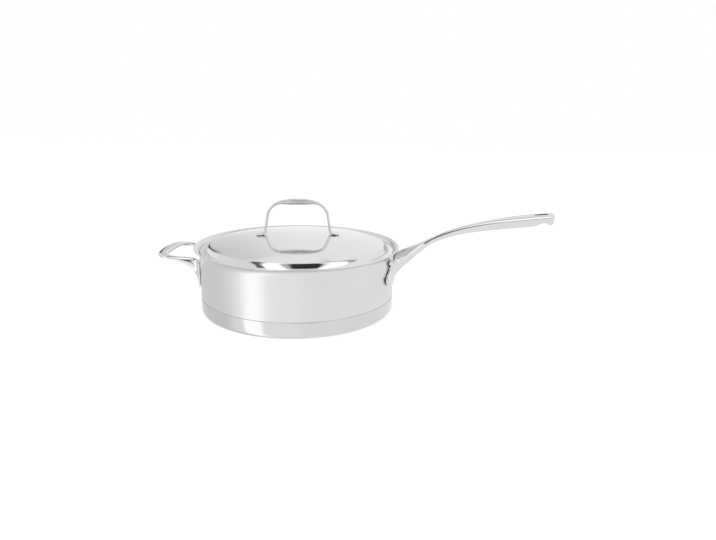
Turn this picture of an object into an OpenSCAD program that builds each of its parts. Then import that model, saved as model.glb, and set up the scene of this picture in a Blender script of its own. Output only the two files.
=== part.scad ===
// Saute pan with a lid: a straight-sided steel pan on a sealed sandwich base, with a forked long
// handle, a loop handle opposite to it, and a domed lid with a bow handle.
// The origin is the centre of the pan's underside, +X runs along the long handle and +Z is up.

/* [Pan] */
// Inside diameter of the pan
pan_d = 280; // [230:1:340]
// Height of the pan from the table to the top of its lip
pan_h = 95; // [88:1:140]
// Thickness of the wall and of the floor
wall = 1.5; // [1:0.1:2.4]
// Inside radius of the corner between the floor and the wall
corner_r = 9; // [5:0.5:14]
// How far the lip stands out beyond the wall
lip_out = 7.7; // [6:0.1:10]
// Height over which the lip curves outward
lip_h = 12; // [10.5:0.5:15]

/* [Base] */
// Height of the seam where the base cup ends
seam_h = 23.6; // [18:0.2:32]
// Thickness of the base cup's sheet
cup_t = 0.8; // [0.6:0.1:1.2]
// How far the base cup stands out beyond the wall
cup_proud = 0.4; // [0.1:0.1:0.5]
// Outside radius of the base cup's bottom corner
cup_r = 6; // [4:0.5:9]
// Width of the groove that shows at the seam
seam_w = 0.5; // [0.3:0.1:1.2]
// Distance from the wall of the base cup to the heat-spreading core
core_inset = 13; // [9:0.5:40]
// Thickness of the heat-spreading core
core_t = 3; // [2:0.1:5]
// Thickness of each braze foil, above and below the core
braze_t = 0.2; // [0.1:0.05:0.4]

/* [Lid] */
// Thickness of the lid's sheet
lid_t = 1; // [0.7:0.1:1.5]
// How far the lid's edge reaches over the pan's inside wall
lid_over = 1; // [0.5:0.1:2]
// Width of the flat flange round the dome
flange_w = 6.5; // [4:0.5:10]
// Height of the dome's crown above the flange
crown_h = 21.2; // [16:0.2:36]
// Outside radius of the dome's shoulder
shoulder_r = 10; // [6:0.5:13]
// How many degrees the foot of the shoulder leans from upright
shoulder_lean = 17; // [8:1:30]
// Radius of the hollow between the shoulder and the flange
flange_fillet = 1.5; // [1:0.1:3]

/* [Lid handle] */
// How many degrees the bow is turned from the line of the long handle
bow_turn = 8; // [0:1:90]
// Overall width of the bow across its limbs
bow_w = 100; // [84:1:120]
// Height of the bow above the crown of the dome
bow_h = 50.7; // [40:0.1:70]
// How far each limb leans inward at the top
bow_lean = 7; // [0:0.5:10]
// Radius of the bow's upper corners, on the middle of the bar
bow_corner_r = 24; // [12:1:26]
// Thickness of the limbs, seen from the front
limb_t = 4; // [3:0.1:6]
// Width of the limbs, from front to back
limb_w = 10; // [7:0.5:14]
// Thickness of the bow at the middle of its grip
bow_grip_t = 8.6; // [5:0.1:11]
// Width of the bow at the middle of its grip, from front to back
bow_grip_w = 16; // [10:0.5:22]
// How far each foot reaches out beyond its limb
foot_out = 11; // [7:0.5:18]
// Thickness of the feet
foot_t = 3; // [2:0.1:5]
// Width of the feet, from front to back
foot_w = 13; // [8:0.5:20]

/* [Long handle] */
// How far the handle reaches beyond the pan's wall
handle_reach = 228.5; // [180:1:280]
// Height of the handle's end above the pan's lip
handle_rise = 54; // [30:1:80]
// Steepness of the handle where the two arms meet, in degrees
root_angle = 34; // [24:1:42]
// Steepness of the handle at its end, in degrees
end_angle = 4; // [0:1:8]
// Depth of the handle at its neck
neck_d = 11; // [8:0.5:15]
// Width of the handle at its neck
neck_w = 13.5; // [10:0.5:18]
// Depth of the handle at its grip
grip_d = 18.4; // [13:0.2:22]
// Width of the handle at its grip
grip_w = 22.5; // [17:0.5:30]
// Distance from the wall to the crotch of the fork
crotch_out = 44; // [32:1:60]
// Height of the top of the crotch above the pan's lip
crotch_rise = 7.5; // [2:0.5:14]
// Drop from the pan's lip to the top of the arms at the wall
arm_drop = 23; // [18:1:30]
// Angle between the feet, seen from above, in degrees
fork_angle = 33; // [26:1:44]
// Thickness of each arm
arm_t = 6.4; // [5:0.1:9]
// Depth of each arm along its middle
arm_d = 12.5; // [9:0.5:16]
// Depth of each arm where it meets its foot
arm_root_d = 21; // [16:0.5:26]
// Length of the hanging hole
hole_l = 22; // [14:0.5:28]
// Width of the hanging hole
hole_w = 10.5; // [7:0.5:13]
// Distance from the handle's end to the middle of the hanging hole
hole_in = 18; // [16:0.5:30]
// Radius of the hollow under the hanging hole
scoop_r = 10; // [7:0.5:12]
// Distance from the handle's end to the middle of the hollow
scoop_in = 14; // [12:0.5:24]
// How far the hollow reaches up into the grip
scoop_h = 4.5; // [2:0.5:7]

/* [Feet of the long handle] */
// Height of the bottom of the feet above the table
lug_z = 46; // [38:0.5:52]
// Drop from the pan's lip to the top of the feet
foot_top_drop = 11.5; // [9:0.5:18]
// Half of a foot's width at its top
foot_top_hw = 14; // [8:0.5:17]
// Half of a foot's width at its waist
foot_waist_hw = 6.5; // [4:0.5:10]
// Half of a foot's width at its lug
foot_lug_hw = 21.5; // [10:0.5:24]
// How far the feet stand out from the wall
foot_proud = 5; // [3:0.2:8]

/* [Helper handle] */
// How far the loop reaches beyond the pan's wall
loop_reach = 59; // [45:1:80]
// Distance between the middles of the loop's limbs
loop_span = 87; // [75:1:120]
// Radius of the loop's corners, on the middle of the bar
loop_corner_r = 20; // [14:1:22]
// Drop from the pan's lip to the top of the limbs at the wall
loop_drop = 17; // [12:0.5:24]
// How far the loop rises towards its end
loop_rise = 9; // [0:0.5:14]
// Thickness of the loop's bar, from top to bottom
loop_t = 6; // [4:0.2:9]
// Width of the limbs, seen from above
loop_limb_w = 8; // [6:0.2:11]
// Width of the loop at the middle of its grip, seen from above
loop_grip_w = 17; // [9:0.5:20]
// Height of the bottom of the feet above the table
loop_foot_z = 37.5; // [32:0.5:50]
// How far the feet stand out from the wall at their bottom
loop_foot_proud = 3.4; // [3:0.2:6]
// Distance from the wall at which the hollow underside of the limbs levels out
loop_hollow = 26; // [18:1:30]
// Half of the width of the feet
loop_foot_hw = 7; // [5:0.5:10]

/* [Fit] */
// Clearance between the lid's edge and the curved lip that carries it
lid_gap = 0.3; // [0.2:0.05:0.6]
// Gap left for the weld between a foot and what it is welded to
weld_gap = 0.05; // [0.03:0.01:0.1]
// Radial clearance between the base cup and the pan
cup_gap = 0.05; // [0.03:0.01:0.1]

/* [Hidden] */
$fn = 96;

// Pan and base
pan_r = pan_d / 2;
wall_r = pan_r + wall;
cup_top = seam_h - seam_w;
cup_or = wall_r + cup_proud;
cup_ir = cup_or - cup_t;
core_d = 2 * (cup_ir - core_inset);
seat_r = cup_ir - cup_gap;
core_z = cup_t + braze_t;
floor_z = core_z + core_t + braze_t;
floor_top = floor_z + wall;

// The lip: an arc that starts upright at the wall and ends in a rounded edge
lip_z = pan_h - lip_h;
lip_rise = lip_h - wall / 2;
lip_angle = 2 * atan(lip_out / lip_rise);
lip_mid_r = lip_rise / sin(lip_angle);
lip_cx = wall_r - wall / 2 + lip_mid_r;

// The lid: its rounded edge rests on the inner face of the lip
lid_r = pan_r + lid_over;
edge_r = lid_t / 2;
edge_cx = lid_r - edge_r;
edge_z = lip_z + sqrt(pow(lip_mid_r + wall / 2 + lid_gap + edge_r, 2) - pow(lip_cx - edge_cx, 2));
flange_top = edge_z + edge_r;
fillet_cx = lid_r - flange_w;
fillet_cz = flange_top + flange_fillet;
shoulder_cx = fillet_cx - (shoulder_r + flange_fillet) * cos(shoulder_lean);
shoulder_cz = fillet_cz - (shoulder_r + flange_fillet) * sin(shoulder_lean);
crown_z = flange_top + crown_h;
crown_over = crown_z - shoulder_cz;
dome_r = (pow(crown_over, 2) + pow(shoulder_cx, 2) - pow(shoulder_r, 2)) / (2 * (crown_over - shoulder_r));
dome_cz = crown_z - dome_r;
dome_end = atan2(shoulder_cz - dome_cz, shoulder_cx);

// Number of steps along an arc, and of points round the section of a bar
arc_steps = 12;
bar_points = 20;

// Points along an arc from angle a to angle b
function arc(cx, cy, r, a, b, steps = arc_steps) =
  [for (i = [0:steps]) [cx + r * cos(a + (b - a) * i / steps), cy + r * sin(a + (b - a) * i / steps)]];

function unit(v) = v / norm(v);
function mix(a, b, t) = a + (b - a) * t;
function clamp01(t) = max(0, min(1, t));
function ease(t) = let (u = clamp01(t)) u * u * (3 - 2 * u);

// Height of the outside of the lid's dome at a distance r from the pan's axis
function dome_height(r) = dome_cz + sqrt(pow(dome_r, 2) - pow(r, 2));

// Section of a bar: across by up and down, with a rounder or squarer outline by its power
function section(half, up, down, power = 2, points = bar_points) =
  [for (i = [0:points - 1]) let (c = cos(360 * i / points), s = sin(360 * i / points))
    [half * sign(c) * pow(abs(c), 2 / power), (s > 0 ? up : down) * sign(s) * pow(abs(s), 2 / power)]];

// Places a section at a point, with its first axis along u and its second along v
function ring(outline, point, u, v) = [for (p = outline) point + p[0] * u + p[1] * v];

// Arc of the given radius that rounds the corner b of the line a, b, c
function corner(a, b, c, r, steps = arc_steps) =
  let (
    u = unit(a - b), v = unit(c - b), half = acos(u * v) / 2,
    centre = b + unit(u + v) * r / sin(half),
    p = b + u * r / tan(half) - centre, q = b + v * r / tan(half) - centre,
    sweep = 180 - 2 * half
  )
  [for (i = [0:steps]) centre + (sin(sweep * (1 - i / steps)) * p + sin(sweep * i / steps) * q) / sin(sweep)];

// Direction of a path at one of its points
function heading(path, i) = unit(path[min(i + 1, len(path) - 1)] - path[max(i - 1, 0)]);

// Solid skin over a row of closed rings that all have the same number of points
module skin(rings) {
  n = len(rings[0]);
  last = len(rings) - 1;
  sides = [for (j = [0:last - 1], i = [0:n - 1]) let (a = j * n + i, b = j * n + (i + 1) % n)
    each [[a, a + n, b], [b, a + n, b + n]]];
  start_cap = [for (i = [0:n - 1]) i];
  end_cap = [for (i = [n - 1:-1:0]) last * n + i];
  polyhedron([for (r = rings) each r], concat(sides, [start_cap, end_cap]), convexity = 10);
}

// Solid over a row of rings and their mirror images, joined where the rings lie on the plane y = 0
module mirrored_skin(rings) {
  points = [for (r = rings) each r];
  n = len(rings[0]);
  last = len(rings) - 1;
  sides = [for (j = [0:last - 1], i = [0:n - 1]) let (a = j * n + i, b = j * n + (i + 1) % n)
    each [[a, a + n, b], [b, a + n, b + n]]];
  // Points of a ring that lie off the plane, or next to one that does
  off = function (j, i) rings[j][(i + n) % n][1] > 0;
  rim = function (j) [for (i = [0:n - 1]) if (off(j, i - 1) || off(j, i) || off(j, i + 1)) i];
  end_rim = rim(last);
  caps = [rim(0), [for (k = [len(end_rim) - 1:-1:0]) last * n + end_rim[k]]];
  near = [for (f = concat(sides, caps)) if (max([for (i = f) points[i][1]]) > 0) f];
  far = [for (f = near) [for (k = [len(f) - 1:-1:0]) let (i = f[k]) points[i][1] > 0 ? i + len(points) : i]];
  polyhedron(concat(points, [for (p = points) [p[0], -p[1], p[2]]]), concat(near, far), convexity = 10);
}

// Pan with a flat floor, an upright wall and a lip that curves outward
module pan_body() {
  outer_corner = corner_r + wall;
  outer = concat(
    [[0, floor_z]],
    arc(seat_r - outer_corner, floor_z + outer_corner, outer_corner, -90, 0),
    [[seat_r, seam_h], [wall_r, seam_h]],
    arc(lip_cx, lip_z, lip_mid_r - wall / 2, 180, 180 - lip_angle)
  );
  rim_cx = lip_cx - lip_mid_r * cos(lip_angle);
  rim_cz = lip_z + lip_mid_r * sin(lip_angle);
  rim = arc(rim_cx, rim_cz, wall / 2, -lip_angle, 180 - lip_angle);
  inner = concat(
    arc(lip_cx, lip_z, lip_mid_r + wall / 2, 180 - lip_angle, 180),
    arc(pan_r - corner_r, floor_top + corner_r, corner_r, 0, -90),
    [[0, floor_top]]
  );
  color("gainsboro") rotate_extrude() polygon(concat(outer, rim, inner));
}

// Magnetic steel cup that seals the base and wraps the foot of the wall
module base_cup() {
  inner_r = cup_r - cup_t;
  profile = concat(
    [[0, 0]],
    arc(cup_or - cup_r, cup_r, cup_r, -90, 0),
    [[cup_or, cup_top], [cup_ir, cup_top]],
    arc(cup_ir - inner_r, cup_r, inner_r, 0, -90),
    [[0, cup_t]]
  );
  color("silver") rotate_extrude() polygon(profile);
}

// Copper disc that spreads the heat, sealed between the pan's floor and the base cup
module base_core() {
  color("peru") translate([0, 0, core_z]) cylinder(h = core_t, d = core_d);
}

// Thin disc of braze that joins one face of the core to its neighbour
module braze_foil(z) {
  color("lightgray") translate([0, 0, z]) cylinder(h = braze_t, d = core_d);
}

// Domed lid of one pressed sheet, with a flat flange whose edge is rounded
module lid_shell() {
  dome_steps = 20;
  top = concat(
    arc(0, dome_cz, dome_r, 90, dome_end, dome_steps),
    arc(shoulder_cx, shoulder_cz, shoulder_r, dome_end, shoulder_lean),
    arc(fillet_cx, fillet_cz, flange_fillet, 180 + shoulder_lean, 270)
  );
  edge = arc(edge_cx, edge_z, edge_r, 90, -90);
  under = concat(
    arc(fillet_cx, fillet_cz, flange_fillet + lid_t, 270, 180 + shoulder_lean),
    arc(shoulder_cx, shoulder_cz, shoulder_r - lid_t, shoulder_lean, dome_end),
    arc(0, dome_cz, dome_r - lid_t, dome_end, 90, dome_steps)
  );
  color("gainsboro") rotate_extrude() polygon(concat(top, edge, under));
}

// Bow handle of the lid, with feet that turn outward along the dome
module lid_handle() {
  limb_x = (bow_w - limb_t) / 2;
  foot_x = limb_x + limb_t / 2 + foot_out;
  foot_lift = weld_gap + foot_t / 2;
  bend_r = 4;
  grip_z = crown_z + bow_h - bow_grip_t / 2;
  shelf_z = grip_z - 1.2;
  tip = [foot_x, dome_height(foot_x) + foot_lift];
  knee = [limb_x, dome_height(limb_x) + foot_lift];
  shoulder = [limb_x - bow_lean, shelf_z];
  middle = [0, grip_z + 0.6];
  foot_line = [for (i = [0:6]) mix(tip, mix(tip, knee, 0.6), i / 6)];
  side = concat(
    foot_line,
    corner(tip, knee, shoulder, bend_r, 8),
    corner(knee, shoulder, middle, bow_corner_r, 14)
  );
  other = [for (i = [len(side) - 1:-1:0]) [-side[i][0], side[i][1]]];
  path = concat(side, corner(shoulder, middle, [-shoulder[0], shoulder[1]], 250, 8), other);
  rings = [for (i = [0:len(path) - 1])
    let (
      x = abs(path[i][0]), z = path[i][1], along = heading(path, i),
      on_foot = ease((x - limb_x + 1) / 4),
      grip = ease((z - grip_z + 8) / 8) * (1 - ease((x - 8) / 26)),
      round_end = sqrt(1 - pow(clamp01((x - foot_x + foot_w / 2) / (foot_w / 2 + 0.6)), 2)),
      t = mix(mix(limb_t, bow_grip_t, grip), foot_t, on_foot),
      w = mix(mix(limb_w, bow_grip_w, grip), foot_w, on_foot) * round_end,
      power = mix(2.2, 3.4, on_foot)
    )
    ring(section(w / 2, t / 2, t / 2, power), [path[i][0], 0, z], [0, -1, 0], [along[1], 0, -along[0]])];
  color("silver") rotate([0, 0, bow_turn]) skin(rings);
}

// Top line of the long handle from the crotch of its fork to its end, in the XZ plane
crotch_x = wall_r + crotch_out;
grip_start = [crotch_x, pan_h + crotch_rise];
grip_end = [wall_r + handle_reach, pan_h + handle_rise];
start_pull = 50;
end_pull = 67;
function grip_top(t) =
  let (
    b = grip_start + start_pull * [cos(root_angle), sin(root_angle)],
    c = grip_end - end_pull * [cos(end_angle), sin(end_angle)]
  )
  pow(1 - t, 3) * grip_start + 3 * pow(1 - t, 2) * t * b + 3 * (1 - t) * t * t * c + t * t * t * grip_end;

// Height of that line at x, found by halving
function top_height(x, low = 0, high = 1, n = 16) =
  let (t = (low + high) / 2, q = grip_top(t))
  n == 0 ? q[1] : q[0] < x ? top_height(x, t, high, n - 1) : top_height(x, low, t, n - 1);

// Half of the hanging hole's width at x
hole_from = grip_end[0] - hole_in - hole_l / 2;
hole_to = hole_from + hole_l;
hole_r = hole_w / 2;
function hole_half(x) = x <= hole_from || x >= hole_to ? 0
  : sqrt(pow(hole_r, 2) - pow(max(0, hole_from + hole_r - x, x - hole_to + hole_r), 2));

// Height of the hollow under the hanging hole at x, below which the grip is cut away
scoop_x = grip_end[0] - scoop_in;
scoop_z = grip_end[1] - grip_d - scoop_r + scoop_h;
function scoop_height(x) =
  abs(x - scoop_x) < scoop_r ? scoop_z + sqrt(pow(scoop_r, 2) - pow(x - scoop_x, 2)) : 0;

// Each half of the long handle is a row of rings: its foot, its arm and its side of the grip
root_x = wall_r * cos(fork_angle / 2);
root_y = wall_r * sin(fork_angle / 2);
arm_run = crotch_x - root_x;
arm_w = arm_t / cos(atan2(root_y - neck_w / 4, arm_run));
arm_slope = (root_y + arm_w / 2 - neck_w / 2) / arm_run;
splay_start = 8;
merge = 9;

// Where an arm leaves the handle's line, as a smooth start and then a straight line
function splay(s) =
  s < -splay_start ? 0 : s > splay_start ? s : pow(s + splay_start, 2) / (4 * splay_start);

// Angles round a section: from its bottom by its outer side to its top, and back by its inner side
outer_points = 15;
inner_points = 11;
round_angles = concat(
  [for (i = [0:outer_points - 1]) -90 + 180 * i / (outer_points - 1)],
  [for (i = [1:inner_points]) 90 + 180 * i / (inner_points + 1)]
);
function bend(v, power) = sign(v) * pow(abs(v), 2 / power);

// One section of a half handle, square to X, from its inner side, its core and its outer side.
// What would pass the plane y = 0 stops there and meets the other half.
function half_ring(x, y_in, y_core, y_out, z_top, depth, power = 2.1, edge = 0.3) =
  [for (a = round_angles) let (c = abs(a) == 90 ? 0 : cos(a), s = sin(a), z_edge = z_top - depth * edge)
    [x, max(0, y_core + (c > 0 ? y_out - y_core : y_core - y_in) * bend(c, power)),
      z_edge + depth * (s > 0 ? edge : 1 - edge) * bend(s, power)]];

// One section of half the grip, square to X, from its inner side, which is the middle or the
// side of the hanging hole, to its outer side, and cut off below z_floor
function grip_ring(x, y_in, y_out, z_top, depth, z_floor, power = 2.1, edge = 0.3) =
  let (
    z_edge = z_top - depth * edge,
    outer = [for (k = [0:outer_points - 1])
      let (
        a = round_angles[k], y = y_in + (y_out - y_in) * (abs(a) == 90 ? 0 : bend(cos(a), power)),
        rise = pow(max(0, 1 - pow(y / y_out, power)), 1 / power)
      )
      [x, y, max(z_floor, z_edge + (a > 0 ? edge : edge - 1) * depth * rise)]],
    inner = [for (k = [1:inner_points]) mix(outer[outer_points - 1], outer[0], k / (inner_points + 1))]
  )
  concat(outer, inner);

// Section of the arm at a distance s from the crotch towards the wall
function arm_ring(s) =
  let (
    y_out = neck_w / 2 + arm_slope * splay(s), y_in = y_out - arm_w,
    y_core = mix(0, (y_in + y_out) / 2, ease((s + merge) / (merge + 5))),
    z_top = grip_start[1] - (grip_start[1] - pan_h + arm_drop) * max(0, s) / arm_run,
    from_wall = clamp01((arm_run - s) / (0.62 * arm_run)),
    depth = mix(arm_root_d, arm_d, 1 - pow(1 - from_wall, 2)) - (arm_d - neck_d) * ease(1 - s / 20) * 0.6
  )
  half_ring(crotch_x - s, y_in, y_core, y_out, z_top, depth, 2.3);

// Azimuth, distance from the wall and height of a point, and back again
function to_wall(p) = [atan2(p[1], p[0]), norm([p[0], p[1]]) - wall_r, p[2]];
function from_wall(q) = [(wall_r + q[1]) * cos(q[0]), (wall_r + q[1]) * sin(q[0]), q[2]];

// Ring between a foot's outline on the wall and the bar that it carries, hollow by its power
function spread(foot, bar, t, power) =
  [for (i = [0:len(foot) - 1]) let (a = to_wall(foot[i]), b = to_wall(bar[i]))
    from_wall([mix(a[0], b[0], t), mix(a[1], b[1], pow(t, power)), mix(a[2], b[2], t)])];

// Outline of a foot on the wall, at a distance out from it, drawn in by an inset and filled to a
// share of its width. Its half width is lug at the bottom, waist in the middle and top above;
// its lower end is the rounder one.
function foot_ring(azimuth, z_low, z_high, lug, waist, top, out, inset, fill, angles, low_power, high_power) =
  [for (a = angles)
    let (
      c = cos(a), s = bend(sin(a), 2.4), u = (s + 1) / 2,
      half = u < waist_at ? mix(lug, waist, ease((u - lug_at) / (waist_at - lug_at)))
        : mix(waist, top, ease((u - waist_at) / (1 - waist_at))),
      across = sign(c) * fill * (half - inset) * pow(1 - pow(abs(s), s < 0 ? low_power : high_power), 0.45)
    )
    from_wall([azimuth + across / wall_r * 180 / PI, out, mix(z_low + inset, z_high - inset, u)])];

// Shares of a foot's height at which its lug begins to narrow and at which its waist lies
lug_at = 0.36;
waist_at = 0.72;

// Distance out, inset and share of the width for each ring of a foot: its back follows the wall
// in steps narrow enough to stay clear of it, and its front edge is rounded
function foot_profile(proud, edge_inset, back) = concat(
  [for (share = back) [weld_gap, 0, share]],
  [[weld_gap, 0, 1], [0.6 * proud, 0, 1], [0.88 * proud, edge_inset / 3, 1], [proud, edge_inset, 1]]
);

// Rings of half a long handle, from the wall to the handle's end
function half_handle() =
  let (
    arm_steps = 10, neck_steps = 20, hole_steps = 5, end_steps = 6,
    blend_start = arm_run - 12, end_round = 9,
    az = fork_angle / 2, foot_z = pan_h - foot_top_drop,
    pads = [for (p = foot_profile(foot_proud, 1.6, [0.03, 0.35, 0.68]))
      foot_ring(az, lug_z, foot_z, foot_lug_hw, foot_waist_hw, foot_top_hw, p[0], p[1], p[2],
        round_angles, 2.6, 8)],
    root = arm_ring(blend_start),
    hollow = [for (t = [0.16, 0.32, 0.47, 0.61, 0.74, 0.87]) spread(pads[len(pads) - 1], root, t, 2.6)],
    arm = [for (i = [0:arm_steps]) arm_ring(mix(blend_start, 0, i / arm_steps))],
    stations = concat(
      [for (j = [1:neck_steps]) crotch_x + (hole_from - 1.5 - crotch_x) * pow(j / neck_steps, 1.5)],
      [for (j = [0:hole_steps]) hole_from + hole_r * (1 - cos(90 * j / hole_steps))],
      [for (j = [1:3]) mix(hole_from + hole_r, hole_to - hole_r, j / 4)],
      [for (j = [0:hole_steps]) hole_to - hole_r * (1 - cos(90 - 90 * j / hole_steps))],
      [for (j = [1:end_steps]) hole_to + (grip_end[0] - hole_to) * sin(90 * j / end_steps)]
    ),
    grip = [for (x = stations)
      let (
        s = crotch_x - x,
        u = clamp01((x - crotch_x - 25) / (handle_reach - crotch_out - 59)),
        depth = mix(neck_d, grip_d, pow(sin(90 * u), 1.3)) + (arm_d - neck_d) * 0.4 * (1 - ease(-s / 12)),
        end = clamp01(1 - (grip_end[0] - x) / end_round),
        round_end = pow(1 - pow(end, 2.4), 1 / 2.4),
        wide = (mix(neck_w, grip_w, ease(u * 1.1)) / 2 + arm_slope * splay(s)) * mix(0.6, 1, round_end),
        y_core = mix(0, wide / 2, ease((s + merge) / (merge + 5))),
        z_top = top_height(x) - 1 + round_end, deep = depth * mix(0.86, 1, round_end)
      )
      s > -merge ? half_ring(x, min(wide - arm_w, s), y_core, wide, z_top, deep)
        : grip_ring(x, hole_half(x), wide, z_top, deep, scoop_height(x))]
  )
  concat(pads, hollow, arm, grip);

// Long handle: two arms that join in a neck, then a crowned grip with a hanging hole at its end
module long_handle() {
  color("silver") mirrored_skin(half_handle());
}

// Helper handle: a loop of bar that widens to a grip, on two feet welded to the wall
module helper_handle() {
  limb_y = loop_span / 2;
  end_x = wall_r + loop_reach - loop_grip_w / 2;
  top_z = pan_h - loop_drop;
  azimuth = asin(limb_y / wall_r);
  angles = [for (i = [0:bar_points - 1]) 360 * i / bar_points];
  start = [wall_r + loop_hollow, limb_y];
  knuckle = [end_x - 1.5, limb_y];
  middle = [end_x + 2, 0];
  side = concat([start], corner(start, knuckle, middle, min(loop_corner_r, knuckle[0] - start[0] - 1), 14));
  other = [for (i = [len(side) - 1:-1:0]) [side[i][0], -side[i][1]]];
  path = concat(side, corner(knuckle, middle, [knuckle[0], -knuckle[1]], 160, 6), other);
  bar = [for (i = [0:len(path) - 1])
    let (
      p = path[i], along = heading(path, i), rise = loop_rise * clamp01((p[0] - wall_r) / loop_reach),
      grip = ease((p[0] - start[0] - 6) / (end_x - start[0] - 8)) * (1 - 0.25 * ease((abs(p[1]) - 6) / 26)),
      w = mix(loop_limb_w, loop_grip_w, grip)
    )
    [for (a = angles) [p[0], p[1], top_z + rise - loop_t / 2]
      + w / 2 * bend(cos(a), 2.6) * [-along[1], along[0], 0] + [0, 0, loop_t / 2 * bend(sin(a), 2.6)]]];
  pads = [for (p = foot_profile(loop_foot_proud, 1.3, [0.5]))
    foot_ring(azimuth, loop_foot_z, top_z + 0.5, loop_foot_hw, loop_foot_hw - 1, loop_foot_hw,
      p[0], p[1], p[2], angles, 12, 12)];
  hollow = [for (t = [0.16, 0.31, 0.45, 0.57, 0.68, 0.78, 0.86, 0.94])
    spread(pads[len(pads) - 1], bar[0], t, 3)];
  near = concat(pads, hollow);
  far = [for (i = [len(near) - 1:-1:0]) [for (p = near[i]) [p[0], -p[1], p[2]]]];
  color("silver") rotate([0, 0, 180]) skin(concat(near, bar, far));
}

pan_body();
base_cup();
braze_foil(cup_t);  // braze_foil_lower
base_core();
braze_foil(core_z + core_t);  // braze_foil_upper
long_handle();
helper_handle();
lid_shell();
lid_handle();
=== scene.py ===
# %% [markdown]
# # A saute pan with its lid
#
# The real object is all stainless steel: a drawn pan on a sealed base, two cast handles welded to its
# wall, and a pressed lid with a welded bow. Polished steel has hardly any colour of its own. What the eye
# reads is the shape of its reflections, so this script spends its effort on smooth surfaces, on the
# roughness of each finish, and on what stands round the pan to be reflected.
#
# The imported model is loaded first. It fixes every size, and each new piece is fitted over it.

# %% Load the frame
import math

import bmesh
import bpy
from mathutils import Matrix, Vector


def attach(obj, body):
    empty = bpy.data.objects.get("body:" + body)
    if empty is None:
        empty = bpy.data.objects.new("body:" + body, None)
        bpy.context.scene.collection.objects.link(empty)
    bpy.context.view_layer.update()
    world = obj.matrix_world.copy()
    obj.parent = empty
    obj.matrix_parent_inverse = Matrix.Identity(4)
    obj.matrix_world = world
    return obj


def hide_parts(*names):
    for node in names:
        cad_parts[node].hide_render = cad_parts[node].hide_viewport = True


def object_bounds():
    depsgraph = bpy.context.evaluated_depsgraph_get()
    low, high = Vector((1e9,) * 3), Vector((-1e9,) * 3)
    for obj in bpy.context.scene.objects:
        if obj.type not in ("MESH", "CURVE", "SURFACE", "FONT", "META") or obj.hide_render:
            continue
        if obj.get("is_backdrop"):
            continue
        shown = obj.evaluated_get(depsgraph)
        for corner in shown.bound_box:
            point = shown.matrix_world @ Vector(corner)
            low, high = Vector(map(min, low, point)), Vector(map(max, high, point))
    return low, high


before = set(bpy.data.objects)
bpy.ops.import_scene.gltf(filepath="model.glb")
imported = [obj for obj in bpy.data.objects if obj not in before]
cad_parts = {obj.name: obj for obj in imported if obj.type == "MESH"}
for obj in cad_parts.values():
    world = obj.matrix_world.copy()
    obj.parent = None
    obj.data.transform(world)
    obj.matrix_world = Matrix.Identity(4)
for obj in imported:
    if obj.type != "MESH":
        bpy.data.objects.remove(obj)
cad_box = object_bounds()

# %% [markdown]
# The sizes of the pieces are in millimetres, as on a drawing, and become metres when a mesh is made. The
# room, the lamp and the camera are placed in metres. The sizes are those of the solid model, so that each
# piece lies on its own solid. A few sizes of the handles and the lip differ a little, so that the smoothed
# skins have the outlines of the photograph.

# %% Sizes of the pan, its base and its lid
MM = 0.001
INSIDE_R = 140.0
SHEET = 1.5
WALL_R = INSIDE_R + SHEET
PAN_TOP = 95.0
SEAM = 23.6
GROOVE = 0.5
CUP_SHEET = 0.8
CUP_R = WALL_R + 0.4
CUP_FOOT_R = 6.0
BRAZE_T, CORE_T = 0.2, 3.0
FLOOR_Z = CUP_SHEET + BRAZE_T + CORE_T + BRAZE_T
FLOOR_R = 9.0
LIP_OUT, LIP_H = 7.68, 12.0
LID_R = INSIDE_R + 1.0
LID_SHEET, LID_GAP, FLANGE_W = 1.0, 0.3, 6.5
CROWN_H = 21.2
WELD = 0.05
BREAK, CUP_BREAK = 0.15, 0.25
print("wall radius", WALL_R, "cup radius", CUP_R, "floor at", round(FLOOR_Z, 2), "mm")

# %% [markdown]
# Most of the pan is turned: its outline is a few straight lines joined by arcs. One small function makes
# the points of an arc, and the outlines are written as lists of arcs and corners.

# %% Arcs, and the small functions that the outlines use
def arc(cx, cz, r, start, end, steps):
    """Points on an arc from one angle to another, in degrees."""
    return [(cx + r * math.cos(math.radians(start + (end - start) * i / steps)),
             cz + r * math.sin(math.radians(start + (end - start) * i / steps))) for i in range(steps + 1)]


def mix(a, b, t):
    """The value that lies the part t of the way from a to b."""
    return a + (b - a) * t


def ease(t):
    """Goes smoothly from 0 to 1 as t does."""
    t = min(1.0, max(0.0, t))
    return t * t * (3 - 2 * t)


def bend(v, power):
    """Sign-keeping power that turns a circle into a rounder or squarer loop."""
    return math.copysign(abs(v) ** (2 / power), v)


# %% [markdown]
# The pan is one drawn sheet: a flat floor, an upright wall and a lip that curves outward, so that it pours
# from any side. Its outline goes up the outside, round the edge of the lip and down the inside. Small
# breaks stand where the sheet steps in, because an edge without one gives no highlight.

# %% Outline of the pan body
lip_z = PAN_TOP - LIP_H
lip_rise = LIP_H - SHEET / 2
lip_angle = 2 * math.degrees(math.atan(LIP_OUT / lip_rise))
lip_mid = lip_rise / math.sin(math.radians(lip_angle))
lip_cx = WALL_R - SHEET / 2 + lip_mid
seat_r = CUP_R - CUP_SHEET - WELD
corner = FLOOR_R + SHEET
rim_x = lip_cx - lip_mid * math.cos(math.radians(lip_angle))
rim_z = lip_z + lip_mid * math.sin(math.radians(lip_angle))

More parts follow.
